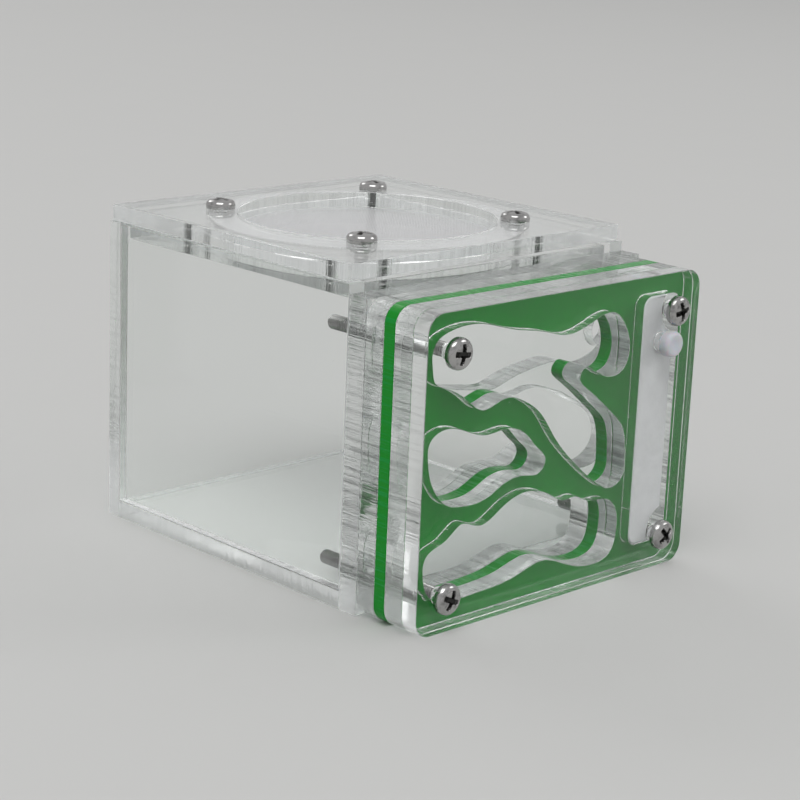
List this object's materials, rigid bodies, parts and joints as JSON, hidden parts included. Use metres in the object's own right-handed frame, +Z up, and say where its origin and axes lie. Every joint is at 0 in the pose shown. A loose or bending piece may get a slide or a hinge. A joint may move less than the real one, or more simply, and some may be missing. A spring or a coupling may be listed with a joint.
{
  "type": "ant habitat",
  "caption": "Clear acrylic ant habitat: a lidded feeding box with a round mesh vent, and on its front a bolted nest of stacked sheets with winding chambers and a moisture slot.",
  "frame": {"origin": "middle of the footprint of the whole object, on the surface it stands on", "axes": "+Z up; the nest's front cover faces -Y, the box lies behind it towards +Y"},
  "size_m": [0.08, 0.1014, 0.0723],
  "materials": {
    "clear_acrylic": "polished sheet",
    "green_acrylic": "polished opaque sheet",
    "sponge": "matt absorbent strip",
    "plug_silicone": "translucent soft silicone",
    "steel": "bright nickel-plated steel",
    "nut_steel": "zinc-plated steel",
    "nylon": "natural nylon",
    "mesh_steel": "fine woven stainless mesh"
  },
  "bodies": {
    "habitat": {"box_base_plate": "clear_acrylic", "box_rear_wall": "clear_acrylic", "box_left_wall": "clear_acrylic", "box_right_wall": "clear_acrylic", "box_front_wall": "clear_acrylic", "nest_rear_plate": "clear_acrylic", "nest_green_plate": "green_acrylic", "nest_gallery_plate": "clear_acrylic", "nest_front_cover": "clear_acrylic", "moisture_sponge": "sponge", "nest_screw_1": "steel", "nest_nut_1": "nut_steel", "nest_nut_ring_1": "nylon", "nest_screw_2": "steel", "nest_nut_2": "nut_steel", "nest_nut_ring_2": "nylon", "nest_screw_3": "steel", "nest_nut_3": "nut_steel", "nest_nut_ring_3": "nylon", "nest_screw_4": "steel", "nest_nut_4": "nut_steel", "nest_nut_ring_4": "nylon"},
    "lid": {"lid_top_plate": "clear_acrylic", "vent_mesh": "mesh_steel", "lid_inner_plate": "clear_acrylic", "lid_screw_1": "steel", "lid_screw_2": "steel", "lid_screw_3": "steel", "lid_screw_4": "steel"},
    "plug": {"water_plug": "plug_silicone"}
  },
  "joints": [
    {"name": "lid_lift", "type": "slide", "parent": "habitat", "child": "lid", "axis": [0, 0, 1], "range_m": [0, 0.03]},
    {"name": "plug_pull", "type": "slide", "parent": "habitat", "child": "plug", "axis": [0, -1, 0], "range_m": [0, 0.01]}
  ]
}
